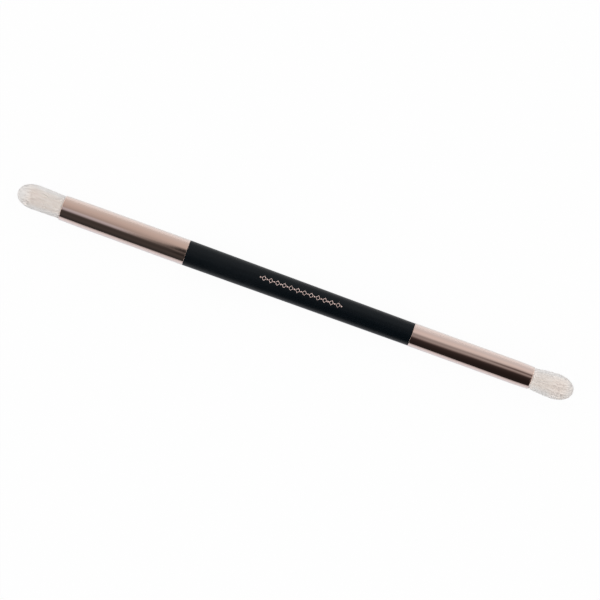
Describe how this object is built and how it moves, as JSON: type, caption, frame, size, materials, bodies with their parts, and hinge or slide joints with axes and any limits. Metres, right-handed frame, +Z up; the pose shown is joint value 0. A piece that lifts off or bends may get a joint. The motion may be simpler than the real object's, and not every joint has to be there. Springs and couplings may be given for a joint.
{
  "type": "double ended makeup brush",
  "caption": "Slim double ended makeup brush: black tapered round handle with a rose gold ferrule and a domed tuft of pale soft hair at each end.",
  "frame": {"origin": "on the brush's axis at the middle of its whole length, tip of hair to tip of hair", "axes": "the brush lies along X with its narrower, bullet-shaped head at -X and its fuller head at +X; +Z is up and is the side that faces the camera"},
  "size_m": [0.1652, 0.0074, 0.0074],
  "materials": {
    "handle_lacquer": "turned wood under a smooth matt black soft-touch lacquer",
    "ferrule_metal": "polished rose gold anodised tube",
    "brush_hair": "fine soft off-white synthetic hair",
    "resin": "set clear amber resin"
  },
  "bodies": {
    "root": {"handle": "handle_lacquer", "left_ferrule": "ferrule_metal", "right_ferrule": "ferrule_metal", "left_hair_tuft": "brush_hair", "right_hair_tuft": "brush_hair", "left_resin_plug": "resin", "right_resin_plug": "resin"}
  },
  "joints": []
}
